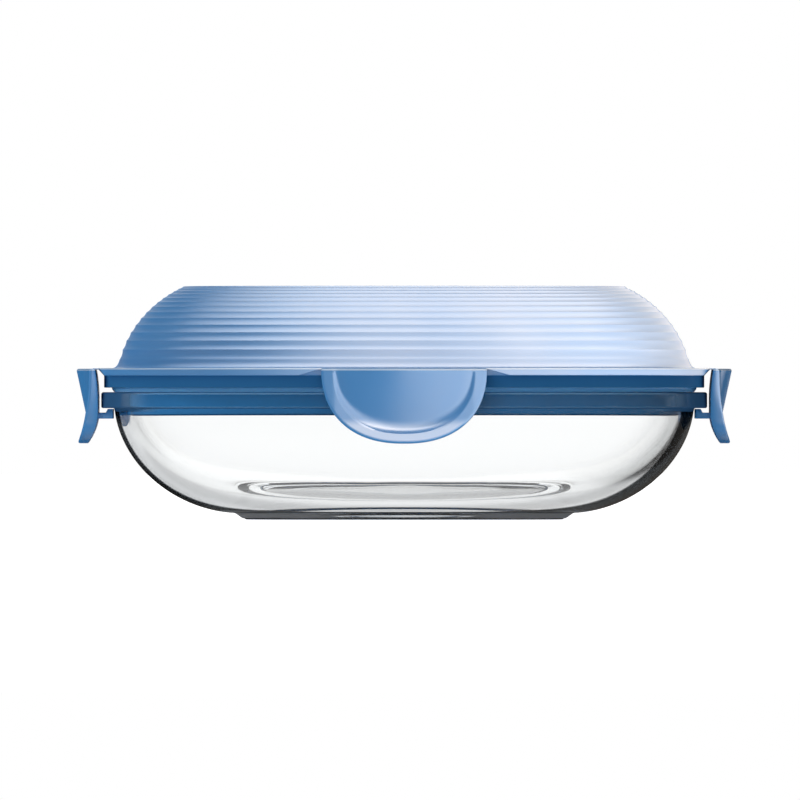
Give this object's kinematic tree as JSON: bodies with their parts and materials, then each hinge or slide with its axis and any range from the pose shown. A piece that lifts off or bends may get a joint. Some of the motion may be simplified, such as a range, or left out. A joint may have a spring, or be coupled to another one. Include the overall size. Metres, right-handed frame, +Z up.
{
  "type": "glass storage container",
  "caption": "Low rectangular clear glass food dish with a tall ribbed blue latching lid, D-shaped hinged latches on its sides and a soft lid seal.",
  "frame": {"origin": "centre of the foot's underside, on the table", "axes": "+Z up, X along the dish's long side, -Y towards the front latch"},
  "size_m": [0.25, 0.19, 0.0888],
  "materials": {
    "clear_glass": "clear, polished",
    "lid_plastic": "satin moulded polypropylene",
    "latch_plastic": "satin moulded polypropylene",
    "seal_silicone": "satin silicone"
  },
  "bodies": {
    "dish": {"glass_dish": "clear_glass"},
    "lid": {"lid_shell": "lid_plastic", "lid_seal": "seal_silicone", "front_film_hinge": "latch_plastic", "right_film_hinge": "latch_plastic", "back_film_hinge": "latch_plastic", "left_film_hinge": "latch_plastic"},
    "front_latch_body": {"front_latch": "latch_plastic"},
    "right_latch_body": {"right_latch": "latch_plastic"},
    "back_latch_body": {"back_latch": "latch_plastic"},
    "left_latch_body": {"left_latch": "latch_plastic"}
  },
  "joints": [
    {"name": "lid_lift", "type": "slide", "parent": "dish", "child": "lid", "axis": [0, 0, 1], "range_m": [0, 0.12]},
    {"name": "front_latch_hinge", "type": "hinge", "parent": "lid", "child": "front_latch_body", "pos_m": [0, -0.087, 0.0574], "axis": [-1, 0, 0], "range_deg": [0, 150], "deforming": ["front_film_hinge"]},
    {"name": "right_latch_hinge", "type": "hinge", "parent": "lid", "child": "right_latch_body", "pos_m": [0.117, 0, 0.0574], "axis": [0, -1, 0], "range_deg": [0, 150], "deforming": ["right_film_hinge"]},
    {"name": "back_latch_hinge", "type": "hinge", "parent": "lid", "child": "back_latch_body", "pos_m": [0, 0.087, 0.0574], "axis": [1, 0, 0], "range_deg": [0, 150], "deforming": ["back_film_hinge"]},
    {"name": "left_latch_hinge", "type": "hinge", "parent": "lid", "child": "left_latch_body", "pos_m": [-0.117, 0, 0.0574], "axis": [0, 1, 0], "range_deg": [0, 150], "deforming": ["left_film_hinge"]}
  ]
}
